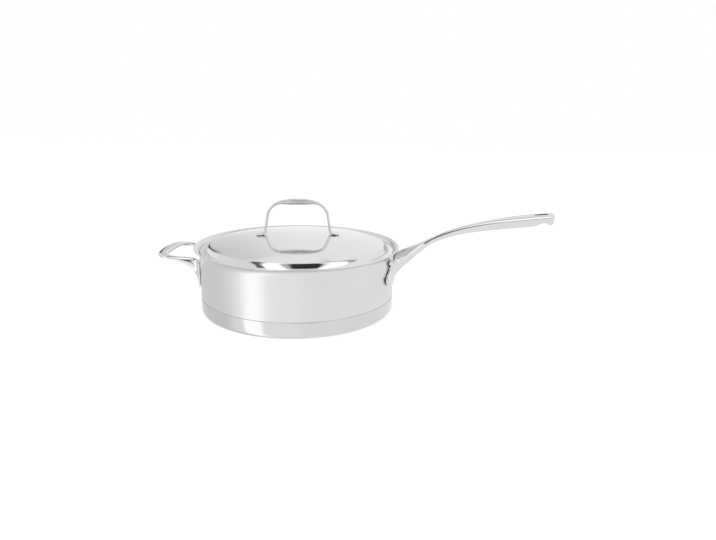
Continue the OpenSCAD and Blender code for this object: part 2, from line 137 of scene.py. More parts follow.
pan_outline = (
    [(0, FLOOR_Z)]
    + arc(seat_r - corner, FLOOR_Z + corner, corner, -90, 0, 10)
    + [(seat_r, SEAM - BREAK), (seat_r + BREAK, SEAM), (WALL_R - BREAK, SEAM), (WALL_R, SEAM + BREAK)]
    + arc(lip_cx, lip_z, lip_mid - SHEET / 2, 180, 180 - lip_angle, 18)
    + arc(rim_x, rim_z, SHEET / 2, -lip_angle, 180 - lip_angle, 10)[1:-1]
    + arc(lip_cx, lip_z, lip_mid + SHEET / 2, 180 - lip_angle, 180, 18)
    + arc(INSIDE_R - FLOOR_R, FLOOR_Z + SHEET + FLOOR_R, FLOOR_R, 0, -90, 12)
    + [(0, FLOOR_Z + SHEET)]
)
print("pan outline:", len(pan_outline), "points, lip at", round(rim_x + SHEET / 2, 1), "mm from the axis")

# %% [markdown]
# The cup is a thin dish of steel that is pressed over the foot of the wall and hides the copper core. Its
# upper edge stops short of the wall's step, which leaves the dark seam that runs round the pan.

# %% Outline of the base cup
inner_foot_r = CUP_FOOT_R - CUP_SHEET
cup_outline = (
    [(0, 0)]
    + arc(CUP_R - CUP_FOOT_R, CUP_FOOT_R, CUP_FOOT_R, -90, 0, 12)
    + arc(CUP_R - CUP_BREAK, SEAM - GROOVE - CUP_BREAK, CUP_BREAK, 0, 90, 4)
    + [(CUP_R - CUP_SHEET, SEAM - GROOVE)]
    + arc(CUP_R - CUP_FOOT_R, CUP_FOOT_R, inner_foot_r, 0, -90, 10)
    + [(0, CUP_SHEET)]
)
print("cup outline:", len(cup_outline), "points")

# %% [markdown]
# The lid rests with its rounded edge on the curve of the lip. Its height follows from where those two
# curves meet, and the dome above is one large sphere that turns into a tight shoulder.

# %% Outline of the lid
edge_r = LID_SHEET / 2
edge_x = LID_R - edge_r
edge_z = lip_z + math.sqrt((lip_mid + SHEET / 2 + LID_GAP + edge_r) ** 2 - (lip_cx - edge_x) ** 2)
flange_z = edge_z + edge_r
fillet, shoulder, lean = 1.5, 10.0, 17.0
straight_up = 90
fillet_x, fillet_z = LID_R - FLANGE_W, flange_z + fillet
shoulder_x = fillet_x - (shoulder + fillet) * math.cos(math.radians(lean))
shoulder_z = fillet_z - (shoulder + fillet) * math.sin(math.radians(lean))
crown_z = flange_z + CROWN_H
over = crown_z - shoulder_z
dome_r = (over ** 2 + shoulder_x ** 2 - shoulder ** 2) / (2 * (over - shoulder))
dome_z = crown_z - dome_r
dome_end = math.degrees(math.atan2(shoulder_z - dome_z, shoulder_x))

lid_outline = (
    arc(0, dome_z, dome_r, straight_up, dome_end, 40)
    + arc(shoulder_x, shoulder_z, shoulder, dome_end, lean, 20)[1:]
    + arc(fillet_x, fillet_z, fillet, 180 + lean, 270, 8)
    + arc(edge_x, edge_z, edge_r, 90, -90, 8)
    + arc(fillet_x, fillet_z, fillet + LID_SHEET, 270, 180 + lean, 8)
    + arc(shoulder_x, shoulder_z, shoulder - LID_SHEET, lean, dome_end, 12)
    + arc(0, dome_z, dome_r - LID_SHEET, dome_end, straight_up, 20)[1:]
)
print("lid outline:", len(lid_outline), "points")
print("crown at", round(crown_z, 1), "mm, radius of the dome", round(dome_r), "mm")

# %% [markdown]
# Turned pieces are spun: the outline becomes a chain of edges, and the spin operator carries it round the
# axis. The first and last steps are merged, so no seam shows in the reflections, and points on the axis
# are merged into one pole.

# %% Spin an outline into a piece
def object_from(bm, name):
    mesh = bpy.data.meshes.new(name)
    bm.to_mesh(mesh)
    bm.free()
    mesh.shade_smooth()
    piece = bpy.data.objects.new(name, mesh)
    bpy.context.scene.collection.objects.link(piece)
    print(name, "has", len(mesh.polygons), "faces")
    return piece


SPIN_STEPS, SHARP_ANGLE = 180, 40.0
MERGE_DIST = 1e-6  # metres, as the finished mesh has them


def spin_piece(name, outline):
    bm = bmesh.new()
    chain = [bm.verts.new((x * MM, 0, z * MM)) for x, z in outline]
    edges = [bm.edges.new(pair) for pair in zip(chain, chain[1:])]
    bmesh.ops.spin(bm, geom=chain + edges, cent=(0, 0, 0), axis=(0, 0, 1), dvec=(0, 0, 0),
                   angle=2 * math.pi, steps=SPIN_STEPS, use_merge=True, use_duplicate=False)
    bmesh.ops.remove_doubles(bm, verts=bm.verts, dist=MERGE_DIST)
    bmesh.ops.recalc_face_normals(bm, faces=bm.faces)
    piece = object_from(bm, name)
    piece.data.set_sharp_from_angle(angle=math.radians(SHARP_ANGLE))
    return piece


pan_skin = spin_piece("pan_skin", pan_outline)
cup_skin = spin_piece("cup_skin", cup_outline)
lid_skin = spin_piece("lid_skin", lid_outline)

# %% [markdown]
# The handles are castings with no straight axis. Each is lofted: a loop of points is extruded from
# section to section, and every new loop is moved to its place. A subdivision surface then rounds the
# skin, which polished metal needs, because a reflection shows every flat.

# %% Loft a row of sections into a skin
def loft(rings):
    """A bmesh whose skin passes through the rings, open at both ends."""
    bm = bmesh.new()
    count = len(rings[0])
    bmesh.ops.create_circle(bm, segments=count, radius=1)
    bm.verts.ensure_lookup_table()
    loop = list(bm.verts)
    edges = list(bm.edges)
    for v, p in zip(loop, rings[0]):
        v.co = Vector(p) * MM
    for ring in rings[1:]:
        made = bmesh.ops.extrude_edge_only(bm, edges=edges)["geom"]
        fresh = {g for g in made if isinstance(g, bmesh.types.BMVert)}
        loop = [next(e.other_vert(v) for e in v.link_edges if e.other_vert(v) in fresh) for v in loop]
        edges = [bm.edges.get((loop[i], loop[(i + 1) % count])) for i in range(count)]
        for v, p in zip(loop, ring):
            v.co = Vector(p) * MM
    return bm


SUBDIVISIONS = 2


def close_and_finish(bm, name):
    """Caps the open ends, turns the faces outward and adds the subdivision surface."""
    bmesh.ops.holes_fill(bm, edges=[e for e in bm.edges if e.is_boundary], sides=0)
    bmesh.ops.recalc_face_normals(bm, faces=bm.faces)
    piece = object_from(bm, name)
    surface = piece.modifiers.new("surface", "SUBSURF")
    surface.levels = surface.render_levels = SUBDIVISIONS
    return piece


# %% [markdown]
# The bow is a flat bar bent in five places. Its path is drawn as a line with rounded corners, and the
# section grows from a thin limb to a fuller grip in the middle.

# %% Path helpers in the plane of a bar
def heading(path, i):
    """Direction of a path at its point i."""
    a, b = path[max(i - 1, 0)], path[min(i + 1, len(path) - 1)]
    return (Vector(b) - Vector(a)).normalized()


def round_corner(a, b, c, r, steps):
    """Arc of radius r that rounds the corner b of the line a, b, c."""
    a, b, c = Vector(a), Vector(b), Vector(c)
    u, v = (a - b).normalized(), (c - b).normalized()
    half = u.angle(v) / 2
    centre = b + (u + v).normalized() * r / math.sin(half)
    p, q = b + u * r / math.tan(half) - centre, b + v * r / math.tan(half) - centre
    sweep = math.pi - 2 * half
    turns = [sweep * i / steps for i in range(steps + 1)]
    return [centre + (math.sin(sweep - t) * p + math.sin(t) * q) / math.sin(sweep) for t in turns]


OVAL_POINTS = 24


def oval(width, thickness, power):
    """Section of a bar as pairs: across, and up or down."""
    turns = [2 * math.pi * i / OVAL_POINTS for i in range(OVAL_POINTS)]
    return [(width / 2 * bend(math.cos(t), power), thickness / 2 * bend(math.sin(t), power)) for t in turns]


# %% [markdown]
# Each end of the bow is turned outward and flattened into a foot that is welded to the dome. Its sections
# are ovals: nearly square on the foot, rounder in the limb, and thick and wide where the fingers hold it.

# %% The bow of the lid
BOW_W, BOW_H, LIMB_T, LIMB_W, GRIP_T, GRIP_W = 100.0, 50.68, 4.0, 10.0, 8.6, 16.0
BOW_TURN, BOW_LEAN, KNEE_R, BOW_CORNER_R, CROWN_R = 8.0, 7.0, 4.0, 24.0, 250.0
FOOT_OUT, FOOT_T, FOOT_W = 11.0, 3.0, 13.0
SHELF_DROP, CROWN_RISE = 1.2, 0.6
GRIP_HALF, GRIP_FADE, TIP_OVER = 8.0, 26.0, 0.6
KNEE_OUT, KNEE_FADE, LIMB_POWER, PAD_POWER = 1.0, 4.0, 2.2, 3.4


def dome_height(r):
    """Height of the dome's outer face at a distance from the axis."""
    return dome_z + math.sqrt(dome_r ** 2 - r ** 2)


def bow_rings():
    limb = (BOW_W - LIMB_T) / 2
    foot = limb + LIMB_T / 2 + FOOT_OUT
    lift = WELD + FOOT_T / 2
    grip_z = crown_z + BOW_H - GRIP_T / 2
    tip, knee = Vector((foot, dome_height(foot) + lift)), Vector((limb, dome_height(limb) + lift))
    top, middle = Vector((limb - BOW_LEAN, grip_z - SHELF_DROP)), Vector((0, grip_z + CROWN_RISE))
    side = [tip.lerp(knee, 0.6 * i / 8) for i in range(9)]
    side += round_corner(tip, knee, top, KNEE_R, 8) + round_corner(knee, top, middle, BOW_CORNER_R, 16)
    mirror = [Vector((-p.x, p.y)) for p in reversed(side)]
    path = side + round_corner(top, middle, Vector((-top.x, top.y)), CROWN_R, 12) + mirror
    turn = Matrix.Rotation(math.radians(BOW_TURN), 3, "Z")
    rings = []
    for i, p in enumerate(path):
        x, z, along = abs(p.x), p.y, heading(path, i)
        on_foot = ease((x - limb + KNEE_OUT) / KNEE_FADE)
        grip = ease((z - grip_z + GRIP_HALF) / GRIP_HALF) * (1 - ease((x - GRIP_HALF) / GRIP_FADE))
        end = min(1, max(0, (x - foot + FOOT_W / 2) / (FOOT_W / 2 + TIP_OVER)))
        t = mix(mix(LIMB_T, GRIP_T, grip), FOOT_T, on_foot)
        w = mix(mix(LIMB_W, GRIP_W, grip), FOOT_W, on_foot) * math.sqrt(1 - end ** 2)
        up = Vector((along.y, 0, -along.x))
        rings.append([turn @ (Vector((p.x, 0, z)) + Vector((0, a, 0)) + up * b)
                      for a, b in oval(w, t, mix(LIMB_POWER, PAD_POWER, on_foot))])
    return rings


bow_skin = close_and_finish(loft(bow_rings()), "bow_skin")

# %% [markdown]
# The helper handle is a loop of bar that widens to a grip. Its feet lie on a round wall, so their points
# are worked out as an angle round the pan, a distance from the wall and a height.

# %% Points on the pan's wall
def from_wall(azimuth, out, z):
    """Point at an angle round the pan, a distance out from its wall and a height."""
    a = math.radians(azimuth)
    return Vector(((WALL_R + out) * math.cos(a), (WALL_R + out) * math.sin(a), z))


def to_wall(p):
    """The same three values, read from a point."""
    return math.degrees(math.atan2(p.y, p.x)), math.hypot(p.x, p.y) - WALL_R, p.z


def spread(foot, bar, t, power):
    """Ring between a foot's outline and the bar it carries; a higher power makes it hollower."""
    ring = []
    for p, q in zip(foot, bar):
        a, b = to_wall(p), to_wall(q)
        ring.append(from_wall(mix(a[0], b[0], t), mix(a[1], b[1], t ** power), mix(a[2], b[2], t)))
    return ring


# %% [markdown]
# A cast foot is a pad that follows the wall. On the long handle it is a spade: a broad lug, a waist above
# it and a shoulder where the arm begins. Rings of its outline, one behind the other, give it thickness and
# a rounded front edge, and the wall's own curve comes from the angles.

# %% Outline and thickness of a foot
LUG_AT, WAIST_AT, FOOT_POWER, TAPER_POWER = 0.36, 0.72, 2.4, 0.45


def foot_ring(azimuth, low, high, halves, out, inset, angles, low_power, high_power):
    """Outline of a foot; halves are its half widths at the lug, the waist and the top."""
    lug, waist, top = halves
    ring = []
    for a in angles:
        c, s = math.cos(math.radians(a)), bend(math.sin(math.radians(a)), FOOT_POWER)
        u = (s + 1) / 2
        half = (mix(lug, waist, ease((u - LUG_AT) / (WAIST_AT - LUG_AT))) if u < WAIST_AT
                else mix(waist, top, ease((u - WAIST_AT) / (1 - WAIST_AT))))
        taper = max(0.0, 1 - abs(s) ** (low_power if s < 0 else high_power)) ** TAPER_POWER
        across = math.copysign(half - inset, c) * taper if abs(c) > 1e-9 else 0.0
        z = mix(low + inset, high - inset, u)
        ring.append(from_wall(azimuth + math.degrees(across / WALL_R), out, z))
    return ring


def foot_profile(proud, inset):
    """Distance out and inset of a foot's rings, from the wall to its rounded front edge."""
    return [(WELD, 0), (0.6 * proud, 0), (0.88 * proud, inset / 3), (proud, inset)]


# %% [markdown]
# The loop rises a little as it leaves the wall, and its flat bar grows wider toward the outer end, where
# the hand takes it. One foot and the bar are worked out, and the second foot is the first one mirrored.

# %% The helper handle
LOOP_REACH, LOOP_SPAN, LOOP_T, LOOP_LIMB, LOOP_GRIP = 58.8, 87.0, 6.0, 8.0, 17.0
LOOP_DROP, LOOP_RISE, LOOP_CORNER_R, LOOP_CROWN_R, LOOP_HOLLOW = 17.0, 8.6, 17.0, 160.0, 26.0
LOOP_FOOT_Z, LOOP_FOOT_HALVES, LOOP_FOOT_PROUD, LOOP_FOOT_ROUND = 37.5, (7, 6, 7), 3.4, 1.3
BAR_POWER, LOOP_FOOT_POWER, LOOP_FOOT_OVER = 2.6, 12, 0.5
CROWN_IN, CROWN_OUT, LOOP_SWELL_IN, LOOP_SWELL_LESS = 1.5, 2.0, 6.0, 8.0
LOOP_NARROW, LOOP_MIDDLE, LOOP_FADE = 0.25, 6.0, 26.0


def loop_rings():
    limb = LOOP_SPAN / 2
    end_x = WALL_R + LOOP_REACH - LOOP_GRIP / 2
    top_z = PAN_TOP - LOOP_DROP
    azimuth = math.degrees(math.asin(limb / WALL_R))
    angles = [15 * i for i in range(24)]
    start = Vector((WALL_R + LOOP_HOLLOW, limb))
    knuckle, middle = Vector((end_x - CROWN_IN, limb)), Vector((end_x + CROWN_OUT, 0))
    side = [start] + round_corner(start, knuckle, middle, LOOP_CORNER_R, 18)
    other = [Vector((p.x, -p.y)) for p in reversed(side)]
    path = side + round_corner(knuckle, middle, Vector((knuckle.x, -knuckle.y)), LOOP_CROWN_R, 8) + other
    bar = []
    for i, p in enumerate(path):
        along = heading(path, i)
        rise = LOOP_RISE * min(1, max(0, (p.x - WALL_R) / LOOP_REACH))
        grip = ease((p.x - start.x - LOOP_SWELL_IN) / (end_x - start.x - LOOP_SWELL_LESS))
        grip *= 1 - LOOP_NARROW * ease((abs(p.y) - LOOP_MIDDLE) / LOOP_FADE)
        w = mix(LOOP_LIMB, LOOP_GRIP, grip)
        centre = Vector((p.x, p.y, top_z + rise - LOOP_T / 2))
        across = Vector((-along.y, along.x, 0))
        bar.append([centre + across * (w / 2 * bend(math.cos(math.radians(a)), BAR_POWER))
                    + Vector((0, 0, LOOP_T / 2 * bend(math.sin(math.radians(a)), BAR_POWER)))
                    for a in angles])
    pads = [foot_ring(azimuth, LOOP_FOOT_Z, top_z + LOOP_FOOT_OVER, LOOP_FOOT_HALVES, out, inset, angles,
                      LOOP_FOOT_POWER, LOOP_FOOT_POWER)
            for out, inset in foot_profile(LOOP_FOOT_PROUD, LOOP_FOOT_ROUND)]
    hollow = [spread(pads[-1], bar[0], t, 3) for t in (0.16, 0.31, 0.45, 0.57, 0.68, 0.78, 0.86, 0.94)]
    near = pads + hollow
    far = [[Vector((p.x, -p.y, p.z)) for p in ring] for ring in reversed(near)]
    return [[Vector((-p.x, -p.y, p.z)) for p in ring] for ring in near + bar + far]


loop_skin = close_and_finish(loft(loop_rings()), "loop_skin")

# %% [markdown]
# The long handle forks into two arms. It is its own mirror image, so only one side is lofted: a foot, an
# arm and half of the grip, whose sections stop at the middle plane. Faces that lie in that plane are
# deleted, and the mirror operator adds the other side and merges the two along the cut. The crotch of
# the fork and the hanging hole are both places where the half section leaves the middle plane.

# %% Sizes and top line of the long handle
REACH, RISE = 228.5, 54.0
ROOT_ANGLE, END_ANGLE, ROOT_PULL, END_PULL = 34.0, 4.0, 49.0, 68.0
NECK_D, NECK_W, GRIP_D, HANDLE_W = 10.0, 13.5, 17.8, 22.5
CROTCH_OUT, CROTCH_RISE, ARM_DROP, FORK = 44.0, 7.5, 23.0, 33.0
ARM_T, ARM_D, ARM_ROOT_D, ARM_HOLLOW = 6.4, 12.5, 21.0, 12.0
FOOT_Z, FOOT_DROP, FOOT_HALVES, FOOT_PROUD, FOOT_ROUND = 46.0, 11.5, (21.5, 6.5, 14), 5.0, 1.6
HOLE_L, HOLE_W, HOLE_IN = 22.0, 10.5, 18.0
SCOOP_R, SCOOP_IN, SCOOP_H = 10.0, 14.0, 4.5
MERGE, MERGE_OVER, SPLAY = 9.0, 5.0, 8.0
SWELL_IN, SWELL_OUT, SWELL_POWER, WIDEN = 25.0, 34.0, 1.3, 1.1
END_ROUND, END_POWER, END_WIDE, END_DEEP, END_DROP = 9.0, 2.4, 0.6, 0.86, 1.0
CROTCH_SHARE, NECK_IN, NECK_OUT, ROOT_SHARE = 0.4, 20.0, 12.0, 0.62
ARM_POWER, GRIP_POWER, EDGE_AT = 2.3, 2.1, 0.3
LUG_POWER, SHOULDER_POWER, HOLLOW_POWER = 2.6, 8, 2.6

crotch_x = WALL_R + CROTCH_OUT
grip_start = Vector((crotch_x, PAN_TOP + CROTCH_RISE))
grip_end = Vector((WALL_R + REACH, PAN_TOP + RISE))
print("grip from", round(crotch_x, 1), "to", round(grip_end.x, 1), "mm, its top at", round(grip_end.y, 1))


def grip_top(t):
    """Top line of the handle, a curve that leaves the crotch steeply and levels out."""
    a, e = math.radians(ROOT_ANGLE), math.radians(END_ANGLE)
    b = grip_start + ROOT_PULL * Vector((math.cos(a), math.sin(a)))
    c = grip_end - END_PULL * Vector((math.cos(e), math.sin(e)))
    return (1 - t) ** 3 * grip_start + 3 * (1 - t) ** 2 * t * b + 3 * (1 - t) * t * t * c + t ** 3 * grip_end


def top_height(x):
    """Height of the top line at x, found by halving."""
    low, high = 0.0, 1.0
    for _ in range(24):
        t = (low + high) / 2
        low, high = (t, high) if grip_top(t).x < x else (low, t)
    return grip_top(low).y


# %% [markdown]
# A half section runs up the outer side and back down the inner side. In the arms it is a closed oval
# that stands free. In the neck its inner side is pushed flat against the middle plane, and in the grip it
# fills the half from the middle, or from the edge of the hanging hole, to the side.

# %% Half sections of the long handle
hole_r = HOLE_W / 2
hole_from = grip_end.x - HOLE_IN - HOLE_L / 2
hole_to = hole_from + HOLE_L
root_x, root_y = WALL_R * math.cos(math.radians(FORK / 2)), WALL_R * math.sin(math.radians(FORK / 2))
arm_run = crotch_x - root_x
arm_w = ARM_T / math.cos(math.atan2(root_y - NECK_W / 4, arm_run))
arm_slope = (root_y + arm_w / 2 - NECK_W / 2) / arm_run
OUTER, INNER = 21, 13
round_angles = ([-90 + 180 * i / (OUTER - 1) for i in range(OUTER)]
                + [90 + 180 * (i + 1) / (INNER + 1) for i in range(INNER)])
print("each arm is", round(arm_run, 1), "mm long, the hanging hole ends at", round(hole_to, 1), "mm")


def hole_half(x):
    """Half of the hanging hole's width at x."""
    if x <= hole_from or x >= hole_to:
        return 0.0
    return math.sqrt(max(0.0, hole_r ** 2 - max(0.0, hole_from + hole_r - x, x - hole_to + hole_r) ** 2))


def scoop_height(x):
    """Height below which the hollow under the hanging hole cuts the grip away."""
    off = x - (grip_end.x - SCOOP_IN)
    if abs(off) >= SCOOP_R:
        return 0.0
    return grip_end.y - GRIP_D - SCOOP_R + SCOOP_H + math.sqrt(SCOOP_R ** 2 - off ** 2)


def splay(s):
    """Bends smoothly from 0 in the grip to s itself in the arm."""
    return 0.0 if s < -SPLAY else s if s > SPLAY else (s + SPLAY) ** 2 / (4 * SPLAY)


def half_ring(x, y_in, y_core, y_out, z_top, depth, power):
    """Half section of an arm, or of the neck, whose inner side may stop at the middle plane."""
    z_edge = z_top - depth * EDGE_AT
    ring = []
    for a in round_angles:
        c, s = (0.0 if abs(a) == 90 else math.cos(math.radians(a))), math.sin(math.radians(a))
        y = y_core + (y_out - y_core if c > 0 else y_core - y_in) * bend(c, power)
        z = z_edge + depth * (EDGE_AT if s > 0 else 1 - EDGE_AT) * bend(s, power)
        ring.append(Vector((x, max(0.0, y), z)))
    return ring


def grip_ring(x, y_in, y_out, z_top, depth, z_floor):
    """Half section of the grip from the middle, or from the hanging hole, to its side."""
    z_edge = z_top - depth * EDGE_AT
    outer = []
    for a in round_angles[:OUTER]:
        y = y_in + (y_out - y_in) * (0.0 if abs(a) == 90 else bend(math.cos(math.radians(a)), GRIP_POWER))
        rise = max(0.0, 1 - (y / y_out) ** GRIP_POWER) ** (1 / GRIP_POWER)
        z = z_edge + (EDGE_AT if a > 0 else EDGE_AT - 1) * depth * rise
        outer.append(Vector((x, y, max(z_floor, z))))
    return outer + [outer[-1].lerp(outer[0], (k + 1) / (INNER + 1)) for k in range(INNER)]


def arm_ring(s):
    """Half section of an arm at the distance s from the crotch, toward the wall."""
    y_out = NECK_W / 2 + arm_slope * splay(s)
    y_in = y_out - arm_w
    y_core = mix(0, (y_in + y_out) / 2, ease((s + MERGE) / (MERGE + MERGE_OVER)))
    z_top = grip_start.y - (grip_start.y - PAN_TOP + ARM_DROP) * max(0, s) / arm_run
    out = min(1, max(0, (arm_run - s) / (ROOT_SHARE * arm_run)))
    depth = mix(ARM_ROOT_D, ARM_D, 1 - (1 - out) ** 2)
    depth -= (ARM_D - NECK_D) * ease(1 - s / NECK_IN) * (1 - CROTCH_SHARE)
    return half_ring(crotch_x - s, y_in, y_core, y_out, z_top, depth, ARM_POWER)


# %% [markdown]
# The sections of one side are now put in a row: the rings of the foot, the hollow that leads into the arm,
# the arm, and the grip. They stand closer together round the hanging hole and at the rounded end.

# %% One side of the long handle, from the wall to its end
ALONG, ROUND, STRAIGHT, TIP = 26, 6, 5, 7
BEFORE_HOLE, ALONG_POWER = 1.5, 1.5


def stations():
    """Places along the grip at which it has a section, closer where the shape changes fast."""
    length = hole_from - BEFORE_HOLE - crotch_x
    quarter = [hole_r * (1 - math.cos(math.radians(90 * j / ROUND))) for j in range(ROUND + 1)]
    yield from (crotch_x + length * (j / ALONG) ** ALONG_POWER for j in range(1, ALONG + 1))
    yield from (hole_from + step for step in quarter)
    yield from (mix(hole_from + hole_r, hole_to - hole_r, j / STRAIGHT) for j in range(1, STRAIGHT))
    yield from (hole_to - step for step in reversed(quarter))
    yield from (mix(hole_to, grip_end.x, math.sin(math.radians(90 * j / TIP))) for j in range(1, TIP + 1))


def handle_rings():
    start = arm_run - ARM_HOLLOW
    pads = [foot_ring(FORK / 2, FOOT_Z, PAN_TOP - FOOT_DROP, FOOT_HALVES, out, inset, round_angles,
                      LUG_POWER, SHOULDER_POWER)
            for out, inset in foot_profile(FOOT_PROUD, FOOT_ROUND)]
    hollow = [spread(pads[-1], arm_ring(start), j / 10, HOLLOW_POWER) for j in range(1, 10)]
    arm = [arm_ring(mix(start, 0, i / 12)) for i in range(13)]
    grip = []
    for x in stations():
        s = crotch_x - x
        u = min(1, max(0, (-s - SWELL_IN) / (REACH - CROTCH_OUT - SWELL_IN - SWELL_OUT)))
        depth = mix(NECK_D, GRIP_D, math.sin(math.radians(90 * u)) ** SWELL_POWER)
        depth += (ARM_D - NECK_D) * CROTCH_SHARE * (1 - ease(-s / NECK_OUT))
        end = min(1, max(0, 1 - (grip_end.x - x) / END_ROUND))
        full = (1 - end ** END_POWER) ** (1 / END_POWER)
        wide = mix(NECK_W, HANDLE_W, ease(u * WIDEN)) / 2 + arm_slope * splay(s)
        wide, deep = wide * mix(END_WIDE, 1, full), depth * mix(END_DEEP, 1, full)
        z_top = top_height(x) - END_DROP * (1 - full)
        if s > -MERGE:
            core = mix(0, wide / 2, ease((s + MERGE) / (MERGE + MERGE_OVER)))
            grip.append(half_ring(x, min(wide - arm_w, s), core, wide, z_top, deep, GRIP_POWER))
        else:
            grip.append(grip_ring(x, hole_half(x), wide, z_top, deep, scoop_height(x)))
    return pads + hollow + arm + grip


side_rings = handle_rings()
print("one side of the long handle has", len(side_rings), "sections of", len(side_rings[0]), "points")

# %% [markdown]
# The open end at the foot gets a face of its own, the faces on the middle plane go, and what is left is
# mirrored. The grip's end is then closed with the rest of the openings.

# %% Loft, cut at the middle plane and mirror
FOOT_WITHIN, MIDDLE_WITHIN = 0.16, 1e-7  # metres, as the finished mesh has them


def long_handle_skin():
    bm = loft(side_rings)
    rim = [e for e in bm.edges if e.is_boundary and all(v.co.x < FOOT_WITHIN for v in e.verts)]
    bmesh.ops.contextual_create(bm, geom=rim)
    flat = [f for f in bm.faces if all(v.co.y < MIDDLE_WITHIN for v in f.verts)]
    bmesh.ops.delete(bm, geom=flat, context="FACES")
    bmesh.ops.mirror(bm, geom=bm.verts[:] + bm.edges[:] + bm.faces[:], axis="Y", merge_dist=MERGE_DIST)
    bmesh.ops.delete(bm, geom=[e for e in bm.edges if e.is_wire], context="EDGES")
    bmesh.ops.delete(bm, geom=[v for v in bm.verts if not v.link_edges], context="VERTS")
    return close_and_finish(bm, "handle_skin")


handle_skin = long_handle_skin()

# %% [markdown]
# Every finish here is a grade of the same steel. The maths of a material is written as Python sums on
# sockets: a small class stands for one socket, and each operator adds the Math node that does it.

# %% Sockets that can be added and multiplied
class Wire:
    """One output socket of a node tree, for use in sums."""

    def __init__(self, tree, socket=None):
        self.tree, self.socket = tree, socket

    def node(self, kind, settings=None, inputs=None, output=0):
        """Adds any node: its settings are set first, then its sockets get values or wires."""
        made = self.tree.nodes.new(kind)
        for key, value in (settings or {}).items():
            setattr(made, key, value)
        for key, value in (inputs or {}).items():
            if isinstance(value, Wire):
                self.tree.links.new(value.socket, made.inputs[key])
            else:
                made.inputs[key].default_value = value
        return Wire(self.tree, made.outputs[output]) if made.outputs else made

    def maths(self, operation, *values):
        return self.node("ShaderNodeMath", {"operation": operation}, dict(enumerate(values)))

    def __add__(self, other):
        return self.maths("ADD", self, other)

    def __radd__(self, other):
        return self.maths("ADD", other, self)

    def __sub__(self, other):
        return self.maths("SUBTRACT", self, other)

    def __rsub__(self, other):
        return self.maths("SUBTRACT", other, self)

    def __mul__(self, other):
        return self.maths("MULTIPLY", self, other)

    def __rmul__(self, other):
        return self.maths("MULTIPLY", other, self)

    def between(self, low, high):
        """0 below low, 1 above high and a smooth slope between them."""
        return self.node("ShaderNodeMapRange", {"interpolation_type": "SMOOTHSTEP"},
                         {"Value": self, "From Min": low, "From Max": high})

    def past(self, edge, soft):
        """0 before an edge and 1 past it, with a slope as wide as soft on each side of it."""
        return self.between(edge - soft, edge + soft)


def new_tree(owner):
    """Empties the nodes of a material or a world and returns a wire to build on them."""
    owner.use_nodes = True
    owner.node_tree.nodes.clear()
    return Wire(owner.node_tree)


# %% [markdown]
# Turned and polished steel carries very fine rings round its axis. The rings come from noise that is read
# at the distance from the axis and the height, so it doesn't change on the way round. They vary the
# roughness and stir the surface a little, and a broad second noise keeps large faces from looking dead.
#
# The bow is a casting like the two handles, but duller, and dullest at its grip. It is the only casting
# near the axis, so the distance from the axis picks it out, and the height picks out its grip.

# %% A grade of polished steel
BROAD_SCALE, FINE_SHARE, BROAD_SHARE = 18.0, 0.1, 0.25
DARKER, BUMP_STRENGTH = 0.975, 0.25
BOW_WITHIN, BOW_GRIP, GRIP_EXTRA = (0.08, 0.1), (0.14, 0.156), 1.8  # the first two in metres


def noise(wire, place, scale, detail, roughness):
    return wire.node("ShaderNodeTexNoise", {"noise_dimensions": "3D"},
                     {"Vector": place, "Scale": scale, "Detail": detail, "Roughness": roughness}, "Fac")


def steel(name, colour, rough, grain, relief, turned, stretch=0.0, satin=0.0):
    """Grain and relief are those of the fine noise; satin is how much rougher the bow is."""
    material = bpy.data.materials.new(name)
    wire = new_tree(material)
    place = wire.node("ShaderNodeTexCoord", output="Object")
    parts = wire.node("ShaderNodeSeparateXYZ", None, {"Vector": place})
    x, y, z = (Wire(wire.tree, socket) for socket in parts.socket.node.outputs)
    radius = wire.maths("SQRT", x * x + y * y)
    rings = wire.node("ShaderNodeCombineXYZ", None, {"X": radius, "Y": 0.0, "Z": z})
    fine = noise(wire, rings if turned else place, grain, 3.0, 0.6)
    broad = noise(wire, place, BROAD_SCALE, 2.0, 0.5)
    roughness = rough + (fine - 0.5) * (rough * FINE_SHARE) + (broad - 0.5) * (rough * BROAD_SHARE)
    duller = (1 - radius.between(*BOW_WITHIN)) * (1 + GRIP_EXTRA * z.between(*BOW_GRIP))
    roughness = roughness + satin * duller
    shade = wire.node("ShaderNodeMix", {"data_type": "RGBA"}, {
        0: broad.between(0.3, 0.7), 6: (*[c * DARKER for c in colour], 1), 7: (*colour, 1)}, 2)
    bump = wire.node("ShaderNodeBump", None,
                     {"Strength": BUMP_STRENGTH, "Distance": relief, "Height": fine})
    surface = wire.node("ShaderNodeBsdfPrincipled", None, {
        "Base Color": shade, "Metallic": 1.0, "Roughness": roughness, "Normal": bump,
        "Anisotropic": stretch})
    wire.node("ShaderNodeOutputMaterial", None, {"Surface": surface})
    return material


pan_steel = steel("pan_steel", (0.74, 0.74, 0.74), rough=0.26, grain=900, relief=5e-6, turned=True,
                  stretch=0.5)
base_steel = steel("base_steel", (0.68, 0.68, 0.68), rough=0.14, grain=900, relief=5e-6, turned=True)
lid_steel = steel("lid_steel", (0.76, 0.76, 0.76), rough=0.09, grain=900, relief=3e-6, turned=True)
cast_steel = steel("handle_steel", (0.74, 0.74, 0.74), rough=0.08, grain=500, relief=3e-6, turned=False,
                   satin=0.16)
copper = steel("copper", (0.80, 0.42, 0.28), rough=0.3, grain=600, relief=2e-5, turned=True)
braze = steel("braze", (0.72, 0.70, 0.66), rough=0.35, grain=400, relief=2e-5, turned=False)

# %% [markdown]
# Each skin takes its steel, rides on the body that carries it and stands in for its node of the packed
# model. The copper core and the two foils are hidden inside the base, so their nodes are kept as they are
# and only get a material.

# %% Dress the pieces and hide the nodes they stand in for
def dress(piece, body, node, material):
    piece.data.materials.clear()
    piece.data.materials.append(material)
    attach(piece, body)
    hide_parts(node)


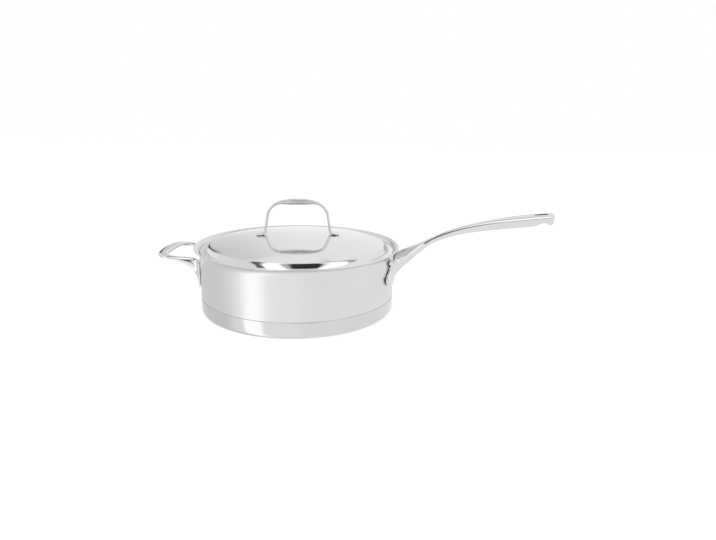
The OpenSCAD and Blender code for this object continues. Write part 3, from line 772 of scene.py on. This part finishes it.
dress(pan_skin, "pan", "pan_body", pan_steel)
dress(cup_skin, "pan", "base_cup", base_steel)
dress(handle_skin, "pan", "long_handle", cast_steel)
dress(loop_skin, "pan", "helper_handle", cast_steel)
dress(lid_skin, "lid", "lid_shell", lid_steel)
dress(bow_skin, "lid", "lid_handle", cast_steel)
for node, material in (("base_core", copper), ("braze_foil_lower", braze), ("braze_foil_upper", braze)):
    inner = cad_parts[node]
    inner.data.materials.clear()
    inner.data.materials.append(material)
print("materials:", sorted(m.name for m in bpy.data.materials))

# %% [markdown]
# The photograph was taken in a white room. Steel shows that room, so the world holds it: white all round,
# with a bright window low on the left and a greyer side beyond it. Behind the pan are a grey patch on the
# right, a dark line in a dim corner on the left, and a low dark strip, and on the near side is a dark band
# at the camera's height. Only reflections see the patches: what the camera sees directly is plain
# white, and so is the light that falls on the table. Directions are measured from the camera's side.

# %% The room that the steel reflects
CAMERA_SIDE = math.radians(-82.0)
TOWARD = (math.cos(CAMERA_SIDE), math.sin(CAMERA_SIDE), 0)
RIGHT = (-math.sin(CAMERA_SIDE), math.cos(CAMERA_SIDE), 0)
UP = (0, 0, 1)
DEGREES = 180 / math.pi
ROOM_LEVEL = 0.98
LINE_LEVEL, STRIP_LEVEL, CORNER_LEVEL = -0.7, -0.5, -0.25

# Patches: how much lighter they are, from and to in degrees round, from and to in degrees up, and softness
WINDOW = (0.52, -65, -42, -60, 6, 2)
WINDOW_GLOW = (0.07, -40, 2, -60, 5, 5)
GREY_SIDE = (-0.2, -160, -84, -70, 0, 9)
GREY_PATCH = (-0.45, 143, 162, -2, 13, 3)
NEAR_BAND = (-0.9, -42, 22, -5, 6, 3)


def share(wire, direction):
    """How far a vector reaches along a direction."""
    return wire.node("ShaderNodeVectorMath", {"operation": "DOT_PRODUCT"}, {0: wire, 1: direction}, "Value")


def backdrop_rays(wire):
    """1 for the rays that show the backdrop: straight from the camera, in a reflection or through glass."""
    camera, glossy, through = (wire.node("ShaderNodeLightPath", output=f"Is {kind} Ray")
                               for kind in ("Camera", "Glossy", "Transmission"))
    return camera + glossy + through, glossy


def room():
    world = bpy.data.worlds.new("white_room")
    bpy.context.scene.world = world
    wire = new_tree(world)
    way = wire.node("ShaderNodeTexCoord", output="Generated")
    side = wire.maths("ARCTAN2", share(way, RIGHT), share(way, TOWARD)) * DEGREES
    height = wire.maths("ARCSINE", share(way, UP)) * DEGREES
    away = wire.maths("ABSOLUTE", side)

    light = ROOM_LEVEL
    for level, left, right, low, high, soft in (WINDOW, WINDOW_GLOW, GREY_SIDE, GREY_PATCH, NEAR_BAND):
        light = light + level * (side.past(left, soft) * (1 - side.past(right, soft))
                                 * height.past(low, soft) * (1 - height.past(high, soft)))
    # Line, strip and corner: each edge in degrees with its own softness
    line = (side.past(-164.25, 1.25) * (1 - side.past(-157, 2))
            * height.past(4.5, 2.5) * (1 - height.past(22.5, 2.5)))
    strip = away.past(144, 6) * (1 - away.past(169, 4)) * height.past(-9, 2) * (1 - height.past(1, 2))
    corner = side.past(-173, 8) * (1 - side.past(-157.5, 7.5)) * height.past(0, 5)
    light = light + LINE_LEVEL * line + STRIP_LEVEL * strip + CORNER_LEVEL * corner
    seen, glossy = backdrop_rays(wire)
    backdrop = 1.0 - glossy * (1.0 - light.maths("MAXIMUM", light, 0.0))
    colour = ROOM_LEVEL + seen * (backdrop - ROOM_LEVEL)
    back = wire.node("ShaderNodeBackground", None, {"Color": colour, "Strength": 1.0})
    wire.node("ShaderNodeOutputWorld", None, {"Surface": back})
    print("the room has", len(world.node_tree.nodes), "nodes")


room()

# %% [markdown]
# Overhead hang two bright panels with a dark gap between them, a grey strip along the gap's left side, and
# dark bars along the panels' outer edges. They are near, so the lid and the handle see them in different
# places, which a world can't give. They are one board with a painted glow, half a metre up, that only
# reflections see.

# %% The panels overhead
BOARD_UP, BOARD_NEARER, BOARD_SIZE = 0.5, 0.55, (2.1, 3.2)
PANEL_LEVEL, GAP_LEVEL, SHADE_LEVEL = 0.45, -0.95, -0.4
LEFT_BAR_LEVEL, RIGHT_BAR_LEVEL, BEYOND_LEVEL = -0.8, -0.55, -0.11


def painted_light(wire):
    """Light of the board's places; out is the distance to the right and near that toward the camera."""
    place = wire.node("ShaderNodeTexCoord", output="Object")
    out, near = share(place, RIGHT), share(place, TOWARD)
    # Slanting lines that the shapes stop at, the curved rim on the left and the far edge on the right
    gap_left, gap_right, shade_left = out + 0.06 * near, out - 0.22 * near, out + 0.1 * near
    rim = out + 0.235 + 0.33 * near + 0.25 * near * near
    flare = 0.3 * wire.maths("MAXIMUM", near - 0.2, 0.0)
    far_edge = near - 1.3 * out + 0.52
    # Each edge in metres with its softness
    gap = ((1 - gap_right.past(0.125, 0.02)) * gap_left.past(-0.045, 0.015)
           * near.past(-0.24, 0.16) * (1 - near.past(0.68, 0.1)))
    shade = (shade_left.past(-0.092, 0.01) * (1 - gap_left.past(-0.045, 0.015))
             * near.past(-0.2, 0.05) * (1 - near.past(0.8, 0.1)))
    left_panel = rim.past(0.05, 0.015) * (1 - shade_left.past(-0.088, 0.012)) * near.past(-0.32, 0.04)
    left_bar = ((rim + flare).past(-0.035, 0.02) * (1 - rim.past(0.035, 0.015))
                * near.past(-0.34, 0.04) * (1 - near.past(0.62, 0.16)))
    right_panel = (gap_right.past(0.165, 0.025) * far_edge.past(0.13, 0.03)
                   * (1 - out.past(0.6, 0.15)) * (1 - near.past(1.1, 0.2)))
    right_bar = (far_edge.past(-0.05, 0.03) * (1 - far_edge.past(0.10, 0.03))
                 * (1 - out.past(0.42, 0.06)) * out.past(0.1, 0.03))
    beyond = 1 - rim.past(0.0, 0.05)
    light = ROOM_LEVEL + PANEL_LEVEL * (left_panel + right_panel) + GAP_LEVEL * gap + SHADE_LEVEL * shade
    return light + LEFT_BAR_LEVEL * left_bar + RIGHT_BAR_LEVEL * right_bar + BEYOND_LEVEL * beyond


def overhead():
    bm = bmesh.new()
    bmesh.ops.create_grid(bm, x_segments=1, y_segments=1, size=0.5)
    resize = Matrix.Diagonal((*BOARD_SIZE, 1, 1))
    turn = Matrix.Rotation(CAMERA_SIDE, 4, "Z") @ Matrix.Translation((BOARD_NEARER, 0, 0))
    lift = Matrix.Translation((0, 0, BOARD_UP))
    bmesh.ops.transform(bm, verts=bm.verts, matrix=lift @ turn @ resize)
    board = object_from(bm, "overhead")
    material = bpy.data.materials.new("panels")
    wire = new_tree(material)
    light = painted_light(wire)
    glow = wire.node("ShaderNodeEmission", None,
                     {"Color": light.maths("MAXIMUM", light, 0.0), "Strength": 1.0})
    wire.node("ShaderNodeOutputMaterial", None, {"Surface": glow})
    board.data.materials.append(material)
    board.visible_camera = board.visible_diffuse = board.visible_shadow = False
    board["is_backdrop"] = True


overhead()

# %% [markdown]
# The table is white too. To the camera it mostly glows like paper in full light, with a share of real
# shading left, so that the pan keeps a faint shadow to stand on. The steel's reflections of it come from
# the room, which is white below the horizon as well.

# %% The table
TABLE_HALF, PAPER, GLOW_LEVEL, GLOW_SHARE = 6.0, 0.9, 1.15, 0.7


def table():
    bm = bmesh.new()
    bmesh.ops.create_grid(bm, x_segments=1, y_segments=1, size=TABLE_HALF)
    floor = object_from(bm, "table")
    material = bpy.data.materials.new("white_table")
    wire = new_tree(material)
    paper = wire.node("ShaderNodeBsdfDiffuse", None, {"Color": (PAPER, PAPER, PAPER, 1)})
    glow = wire.node("ShaderNodeEmission", None, {"Color": (1, 1, 1, 1), "Strength": GLOW_LEVEL})
    seen = backdrop_rays(wire)[0]
    surface = wire.node("ShaderNodeMixShader", None, {0: seen * GLOW_SHARE, 1: paper, 2: glow})
    wire.node("ShaderNodeOutputMaterial", None, {"Surface": surface})
    floor.data.materials.append(material)
    floor.visible_glossy = False
    floor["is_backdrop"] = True


table()

# %% [markdown]
# One weak, broad lamp hangs high on the camera's left and gives the pan its soft shadow on the table.
# Reflections don't see it, because the window and the panels are painted already.

# %% The lamp
LAMP_AT, LAMP_AIM = Vector((-0.5, -0.5, 1.3)), Vector((0, 0, 0.05))
LAMP_SIZE, LAMP_WATTS = 0.9, 3.0

lamp = bpy.data.objects.new("softbox", bpy.data.lights.new("softbox", "AREA"))
lamp.data.shape, lamp.data.energy = "RECTANGLE", LAMP_WATTS
lamp.data.size = lamp.data.size_y = LAMP_SIZE
lamp.location = LAMP_AT
lamp.visible_glossy = False
lamp.rotation_euler = (LAMP_AIM - LAMP_AT).to_track_quat("-Z", "Y").to_euler()
bpy.context.scene.collection.objects.link(lamp)
print("lamp", LAMP_SIZE, "m wide,", LAMP_WATTS, "W")

# %% [markdown]
# The camera stands where the one of the photograph did. Its place and turn were worked out from the
# outlines of the rim, the base and the upright wall, and its focal length in pixels of the photograph is
# turned into that of a common sensor.

# %% Camera
EYE = Vector((0.1102, -0.7843, 0.272))
AIM = Vector((0.0893, 0.0126, 0.0532))
ROLL = 0.0192
PHOTO_W, FOCAL_PX, SENSOR_W = 716, 543, 36

forward = (AIM - EYE).normalized()
level = forward.cross(Vector(UP)).normalized()
upward = level.cross(forward)
across = math.cos(ROLL) * level + math.sin(ROLL) * upward
upward = math.cos(ROLL) * upward - math.sin(ROLL) * level
camera = bpy.data.objects.new("camera", bpy.data.cameras.new("camera"))
camera.data.sensor_width, camera.data.lens = SENSOR_W, FOCAL_PX * SENSOR_W / PHOTO_W
camera.matrix_world = Matrix((across, upward, -forward)).transposed().to_4x4()
camera.location = EYE
bpy.context.scene.collection.objects.link(camera)
bpy.context.scene.camera = camera
bpy.context.scene.view_settings.view_transform = "Standard"
print("lens", round(camera.data.lens, 1), "mm,", round((AIM - EYE).length, 2), "m from the pan")

# %% [markdown]
# Last, the box of the dressed model is set beside that of the solid one. The two should differ by less
# than half a millimetre, and the new skins should stay inside.

# %% Compare the sizes and finish
new_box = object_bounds()
for name, corners in (("solid model", cad_box), ("dressed model", new_box)):
    print(name, [[round(v * 1000, 1) for v in c] for c in corners])
